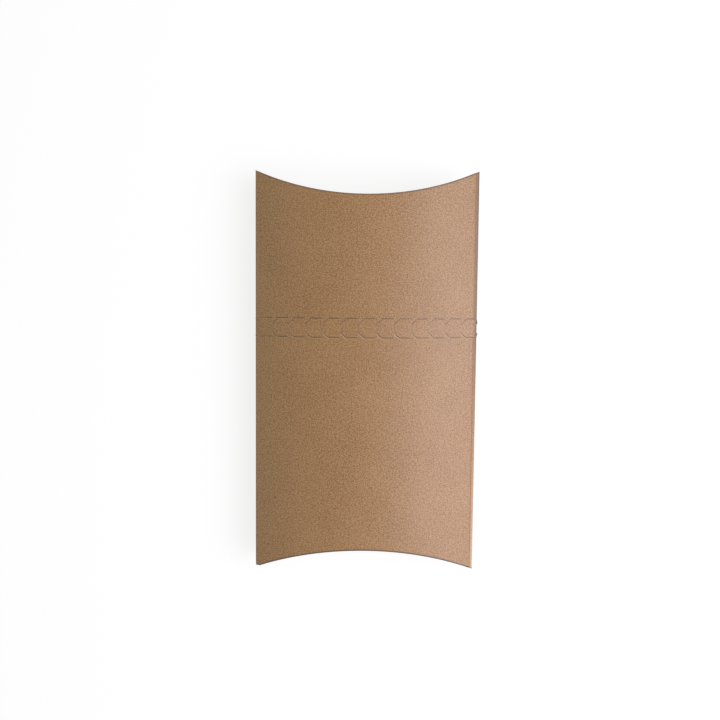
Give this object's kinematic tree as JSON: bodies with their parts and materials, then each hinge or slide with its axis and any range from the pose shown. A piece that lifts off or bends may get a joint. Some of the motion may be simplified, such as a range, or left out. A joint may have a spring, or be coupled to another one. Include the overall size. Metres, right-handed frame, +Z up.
{
  "type": "taco box",
  "caption": "Pillow pack in kraft board with two arched faces, end flaps on curved creases, a glued side seam and a tear strip that lets its upper half come off.",
  "frame": {"origin": "plan centre of the box where the crown of its back rests on the ground", "axes": "+X across the box to the right fold, +Y along the box to the end nearer the tear strip, +Z up through the front"},
  "size_m": [0.1196, 0.2144, 0.0284],
  "materials": {
    "kraft_board": "plain brown kraft board, uncoated and matt, with a fine fibre grain",
    "glue": "thin film of dried packaging glue"
  },
  "bodies": {
    "lower_half": {"lower_front_panel": "kraft_board", "lower_back_panel": "kraft_board", "lower_glue_flap": "kraft_board", "lower_glue_line": "glue"},
    "upper_half": {"upper_front_panel": "kraft_board", "upper_back_panel": "kraft_board", "upper_glue_flap": "kraft_board", "upper_glue_line": "glue"},
    "tear_strip_back": {"tear_strip_back": "kraft_board"},
    "tear_strip_front_6": {"tear_strip_front_6": "kraft_board"},
    "tear_strip_front_5": {"tear_strip_front_5": "kraft_board"},
    "tear_strip_front_4": {"tear_strip_front_4": "kraft_board"},
    "tear_strip_front_3": {"tear_strip_front_3": "kraft_board"},
    "tear_strip_front_2": {"tear_strip_front_2": "kraft_board"},
    "tear_strip_front_1": {"tear_strip_front_1": "kraft_board"},
    "pull_tab": {"pull_tab": "kraft_board"},
    "top_outer_flap_1": {"top_outer_flap_1": "kraft_board"},
    "top_outer_flap_2": {"top_outer_flap_2": "kraft_board"},
    "top_outer_flap_3": {"top_outer_flap_3": "kraft_board"},
    "top_outer_flap_4": {"top_outer_flap_4": "kraft_board"},
    "top_outer_flap_5": {"top_outer_flap_5": "kraft_board"},
    "top_outer_flap_6": {"top_outer_flap_6": "kraft_board"},
    "top_outer_flap_7": {"top_outer_flap_7": "kraft_board"},
    "top_inner_flap_1": {"top_inner_flap_1": "kraft_board"},
    "top_inner_flap_2": {"top_inner_flap_2": "kraft_board"},
    "top_inner_flap_3": {"top_inner_flap_3": "kraft_board"},
    "top_inner_flap_4": {"top_inner_flap_4": "kraft_board"},
    "top_inner_flap_5": {"top_inner_flap_5": "kraft_board"},
    "top_inner_flap_6": {"top_inner_flap_6": "kraft_board"},
    "top_inner_flap_7": {"top_inner_flap_7": "kraft_board"},
    "bottom_outer_flap_1": {"bottom_outer_flap_1": "kraft_board"},
    "bottom_outer_flap_2": {"bottom_outer_flap_2": "kraft_board"},
    "bottom_outer_flap_3": {"bottom_outer_flap_3": "kraft_board"},
    "bottom_outer_flap_4": {"bottom_outer_flap_4": "kraft_board"},
    "bottom_outer_flap_5": {"bottom_outer_flap_5": "kraft_board"},
    "bottom_outer_flap_6": {"bottom_outer_flap_6": "kraft_board"},
    "bottom_outer_flap_7": {"bottom_outer_flap_7": "kraft_board"},
    "bottom_inner_flap_1": {"bottom_inner_flap_1": "kraft_board"},
    "bottom_inner_flap_2": {"bottom_inner_flap_2": "kraft_board"},
    "bottom_inner_flap_3": {"bottom_inner_flap_3": "kraft_board"},
    "bottom_inner_flap_4": {"bottom_inner_flap_4": "kraft_board"},
    "bottom_inner_flap_5": {"bottom_inner_flap_5": "kraft_board"},
    "bottom_inner_flap_6": {"bottom_inner_flap_6": "kraft_board"},
    "bottom_inner_flap_7": {"bottom_inner_flap_7": "kraft_board"}
  },
  "joints": [
    {"name": "upper_half_pull_off", "type": "slide", "parent": "lower_half", "child": "upper_half", "axis": [0, 1, 0], "range_m": [0, 0.12]},
    {"name": "tear_strip_lift", "type": "hinge", "parent": "lower_half", "child": "tear_strip_back", "pos_m": [-0.05953, 0.0244, 0.01378], "axis": [0, -1, 0], "range_deg": [0, 90]},
    {"name": "tear_strip_peel", "type": "hinge", "parent": "tear_strip_back", "child": "tear_strip_front_6", "pos_m": [0.05953, 0.0244, 0.01422], "axis": [0, 1, 0], "range_deg": [0, 120]},
    {"name": "tear_strip_front_5_bend", "type": "hinge", "parent": "tear_strip_front_6", "child": "tear_strip_front_5", "pos_m": [0.04313, 0.0244, 0.02101], "axis": [0, 1, 0], "range_deg": [0, 19.01]},
    {"name": "tear_strip_front_4_bend", "type": "hinge", "parent": "tear_strip_front_5", "child": "tear_strip_front_4", "pos_m": [0.02599, 0.0244, 0.02561], "axis": [0, 1, 0], "range_deg": [0, 19.01]},
    {"name": "tear_strip_front_3_bend", "type": "hinge", "parent": "tear_strip_front_4", "child": "tear_strip_front_3", "pos_m": [0.0084, 0.0244, 0.02793], "axis": [0, 1, 0], "range_deg": [0, 19.01]},
    {"name": "tear_strip_front_2_bend", "type": "hinge", "parent": "tear_strip_front_3", "child": "tear_strip_front_2", "pos_m": [-0.00935, 0.0244, 0.02793], "axis": [0, 1, 0], "range_deg": [0, 19.01]},
    {"name": "tear_strip_front_1_bend", "type": "hinge", "parent": "tear_strip_front_2", "child": "tear_strip_front_1", "pos_m": [-0.02694, 0.0244, 0.02561], "axis": [0, 1, 0], "range_deg": [0, 19.01]},
    {"name": "pull_tab_bend", "type": "hinge", "parent": "tear_strip_front_1", "child": "pull_tab", "pos_m": [-0.04408, 0.0244, 0.02101], "axis": [0, 1, 0], "range_deg": [0, 19.01]},
    {"name": "top_outer_flap_1_open", "type": "hinge", "parent": "upper_half", "child": "top_outer_flap_1", "pos_m": [-0.05228, 0.1041, 0.01761], "axis": [0.8627, -0.3576, 0.3576], "range_deg": [0, 98.44]},
    {"name": "top_outer_flap_2_open", "type": "hinge", "parent": "upper_half", "child": "top_outer_flap_2", "pos_m": [-0.03551, 0.09841, 0.02331], "axis": [0.935, -0.2507, 0.2507], "range_deg": [0, 93.86]},
    {"name": "top_outer_flap_3_open", "type": "hinge", "parent": "upper_half", "child": "top_outer_flap_3", "pos_m": [-0.01814, 0.09495, 0.02677], "axis": [0.9831, -0.1295, 0.1295], "range_deg": [0, 90.99]},
    {"name": "top_flap_open", "type": "hinge", "parent": "upper_half", "child": "top_outer_flap_4", "pos_m": [-0.00047, 0.09379, 0.02793], "axis": [1, 0, 0], "range_deg": [0, 90]},
    {"name": "top_outer_flap_5_open", "type": "hinge", "parent": "upper_half", "child": "top_outer_flap_5", "pos_m": [0.0172, 0.09495, 0.02677], "axis": [0.9831, 0.1295, -0.1295], "range_deg": [0, 90.99]},
    {"name": "top_outer_flap_6_open", "type": "hinge", "parent": "upper_half", "child": "top_outer_flap_6", "pos_m": [0.03456, 0.09841, 0.02331], "axis": [0.935, 0.2507, -0.2507], "range_deg": [0, 93.86]},
    {"name": "top_outer_flap_7_open", "type": "hinge", "parent": "upper_half", "child": "top_outer_flap_7", "pos_m": [0.05133, 0.1041, 0.01761], "axis": [0.8627, 0.3576, -0.3576], "range_deg": [0, 98.44]},
    {"name": "top_inner_flap_1_open", "type": "hinge", "parent": "upper_half", "child": "top_inner_flap_1", "pos_m": [-0.05228, 0.1032, 0.01082], "axis": [-0.8627, 0.3576, 0.3576], "range_deg": [0, 98.44]},
    {"name": "top_inner_flap_2_open", "type": "hinge", "parent": "upper_half", "child": "top_inner_flap_2", "pos_m": [-0.03551, 0.09751, 0.00512], "axis": [-0.935, 0.2507, 0.2507], "range_deg": [0, 93.86]},
    {"name": "top_inner_flap_3_open", "type": "hinge", "parent": "upper_half", "child": "top_inner_flap_3", "pos_m": [-0.01814, 0.09405, 0.00167], "axis": [-0.9831, 0.1295, 0.1295], "range_deg": [0, 90.99]},
    {"name": "top_inner_flap_4_open", "type": "hinge", "parent": "upper_half", "child": "top_inner_flap_4", "pos_m": [-0.00047, 0.09289, 0.00051], "axis": [-1, 0, 0], "range_deg": [0, 90.01]},
    {"name": "top_inner_flap_5_open", "type": "hinge", "parent": "upper_half", "child": "top_inner_flap_5", "pos_m": [0.0172, 0.09405, 0.00167], "axis": [-0.9831, -0.1295, -0.1295], "range_deg": [0, 90.99]},
    {"name": "top_inner_flap_6_open", "type": "hinge", "parent": "upper_half", "child": "top_inner_flap_6", "pos_m": [0.03456, 0.09751, 0.00512], "axis": [-0.935, -0.2507, -0.2507], "range_deg": [0, 93.86]},
    {"name": "top_inner_flap_7_open", "type": "hinge", "parent": "upper_half", "child": "top_inner_flap_7", "pos_m": [0.05133, 0.1032, 0.01082], "axis": [-0.8627, -0.3576, -0.3576], "range_deg": [0, 98.44]},
    {"name": "bottom_outer_flap_1_open", "type": "hinge", "parent": "lower_half", "child": "bottom_outer_flap_1", "pos_m": [-0.05228, -0.1041, 0.01761], "axis": [-0.8627, -0.3576, -0.3576], "range_deg": [0, 98.44]},
    {"name": "bottom_outer_flap_2_open", "type": "hinge", "parent": "lower_half", "child": "bottom_outer_flap_2", "pos_m": [-0.03551, -0.09841, 0.02331], "axis": [-0.935, -0.2507, -0.2507], "range_deg": [0, 93.86]},
    {"name": "bottom_outer_flap_3_open", "type": "hinge", "parent": "lower_half", "child": "bottom_outer_flap_3", "pos_m": [-0.01814, -0.09495, 0.02677], "axis": [-0.9831, -0.1295, -0.1295], "range_deg": [0, 90.99]},
    {"name": "bottom_flap_open", "type": "hinge", "parent": "lower_half", "child": "bottom_outer_flap_4", "pos_m": [-0.00047, -0.09379, 0.02793], "axis": [-1, 0, 0], "range_deg": [0, 90]},
    {"name": "bottom_outer_flap_5_open", "type": "hinge", "parent": "lower_half", "child": "bottom_outer_flap_5", "pos_m": [0.0172, -0.09495, 0.02677], "axis": [-0.9831, 0.1295, 0.1295], "range_deg": [0, 90.99]},
    {"name": "bottom_outer_flap_6_open", "type": "hinge", "parent": "lower_half", "child": "bottom_outer_flap_6", "pos_m": [0.03456, -0.09841, 0.02331], "axis": [-0.935, 0.2507, 0.2507], "range_deg": [0, 93.86]},
    {"name": "bottom_outer_flap_7_open", "type": "hinge", "parent": "lower_half", "child": "bottom_outer_flap_7", "pos_m": [0.05133, -0.1041, 0.01761], "axis": [-0.8627, 0.3576, 0.3576], "range_deg": [0, 98.44]},
    {"name": "bottom_inner_flap_1_open", "type": "hinge", "parent": "lower_half", "child": "bottom_inner_flap_1", "pos_m": [-0.05228, -0.1032, 0.01082], "axis": [0.8627, 0.3576, -0.3576], "range_deg": [0, 98.44]},
    {"name": "bottom_inner_flap_2_open", "type": "hinge", "parent": "lower_half", "child": "bottom_inner_flap_2", "pos_m": [-0.03551, -0.09751, 0.00512], "axis": [0.935, 0.2507, -0.2507], "range_deg": [0, 93.86]},
    {"name": "bottom_inner_flap_3_open", "type": "hinge", "parent": "lower_half", "child": "bottom_inner_flap_3", "pos_m": [-0.01814, -0.09405, 0.00167], "axis": [0.9831, 0.1295, -0.1295], "range_deg": [0, 90.99]},
    {"name": "bottom_inner_flap_4_open", "type": "hinge", "parent": "lower_half", "child": "bottom_inner_flap_4", "pos_m": [-0.00047, -0.09289, 0.00051], "axis": [1, 0, 0], "range_deg": [0, 90.01]},
    {"name": "bottom_inner_flap_5_open", "type": "hinge", "parent": "lower_half", "child": "bottom_inner_flap_5", "pos_m": [0.0172, -0.09405, 0.00167], "axis": [0.9831, -0.1295, 0.1295], "range_deg": [0, 90.99]},
    {"name": "bottom_inner_flap_6_open", "type": "hinge", "parent": "lower_half", "child": "bottom_inner_flap_6", "pos_m": [0.03456, -0.09751, 0.00512], "axis": [0.935, -0.2507, 0.2507], "range_deg": [0, 93.86]},
    {"name": "bottom_inner_flap_7_open", "type": "hinge", "parent": "lower_half", "child": "bottom_inner_flap_7", "pos_m": [0.05133, -0.1032, 0.01082], "axis": [0.8627, -0.3576, 0.3576], "range_deg": [0, 98.44]}
  ],
  "couplings": [
    {"joint": "tear_strip_front_5_bend", "follows": "tear_strip_peel", "ratio": 0.15833},
    {"joint": "tear_strip_front_4_bend", "follows": "tear_strip_peel", "ratio": 0.15833},
    {"joint": "tear_strip_front_3_bend", "follows": "tear_strip_peel", "ratio": 0.15833},
    {"joint": "tear_strip_front_2_bend", "follows": "tear_strip_peel", "ratio": 0.15833},
    {"joint": "tear_strip_front_1_bend", "follows": "tear_strip_peel", "ratio": 0.15833},
    {"joint": "pull_tab_bend", "follows": "tear_strip_peel", "ratio": 0.15833},
    {"joint": "top_outer_flap_1_open", "follows": "top_flap_open", "ratio": 1.0937},
    {"joint": "top_outer_flap_2_open", "follows": "top_flap_open", "ratio": 1.0427},
    {"joint": "top_outer_flap_3_open", "follows": "top_flap_open", "ratio": 1.0109},
    {"joint": "top_outer_flap_5_open", "follows": "top_flap_open", "ratio": 1.0109},
    {"joint": "top_outer_flap_6_open", "follows": "top_flap_open", "ratio": 1.0427},
    {"joint": "top_outer_flap_7_open", "follows": "top_flap_open", "ratio": 1.0937},
    {"joint": "top_inner_flap_1_open", "follows": "top_flap_open", "ratio": 1.0937},
    {"joint": "top_inner_flap_2_open", "follows": "top_flap_open", "ratio": 1.0427},
    {"joint": "top_inner_flap_3_open", "follows": "top_flap_open", "ratio": 1.0109},
    {"joint": "top_inner_flap_4_open", "follows": "top_flap_open", "ratio": 1},
    {"joint": "top_inner_flap_5_open", "follows": "top_flap_open", "ratio": 1.0109},
    {"joint": "top_inner_flap_6_open", "follows": "top_flap_open", "ratio": 1.0427},
    {"joint": "top_inner_flap_7_open", "follows": "top_flap_open", "ratio": 1.0937},
    {"joint": "bottom_outer_flap_1_open", "follows": "bottom_flap_open", "ratio": 1.0937},
    {"joint": "bottom_outer_flap_2_open", "follows": "bottom_flap_open", "ratio": 1.0427},
    {"joint": "bottom_outer_flap_3_open", "follows": "bottom_flap_open", "ratio": 1.0109},
    {"joint": "bottom_outer_flap_5_open", "follows": "bottom_flap_open", "ratio": 1.0109},
    {"joint": "bottom_outer_flap_6_open", "follows": "bottom_flap_open", "ratio": 1.0427},
    {"joint": "bottom_outer_flap_7_open", "follows": "bottom_flap_open", "ratio": 1.0937},
    {"joint": "bottom_inner_flap_1_open", "follows": "bottom_flap_open", "ratio": 1.0937},
    {"joint": "bottom_inner_flap_2_open", "follows": "bottom_flap_open", "ratio": 1.0427},
    {"joint": "bottom_inner_flap_3_open", "follows": "bottom_flap_open", "ratio": 1.0109},
    {"joint": "bottom_inner_flap_4_open", "follows": "bottom_flap_open", "ratio": 1},
    {"joint": "bottom_inner_flap_5_open", "follows": "bottom_flap_open", "ratio": 1.0109},
    {"joint": "bottom_inner_flap_6_open", "follows": "bottom_flap_open", "ratio": 1.0427},
    {"joint": "bottom_inner_flap_7_open", "follows": "bottom_flap_open", "ratio": 1.0937}
  ]
}
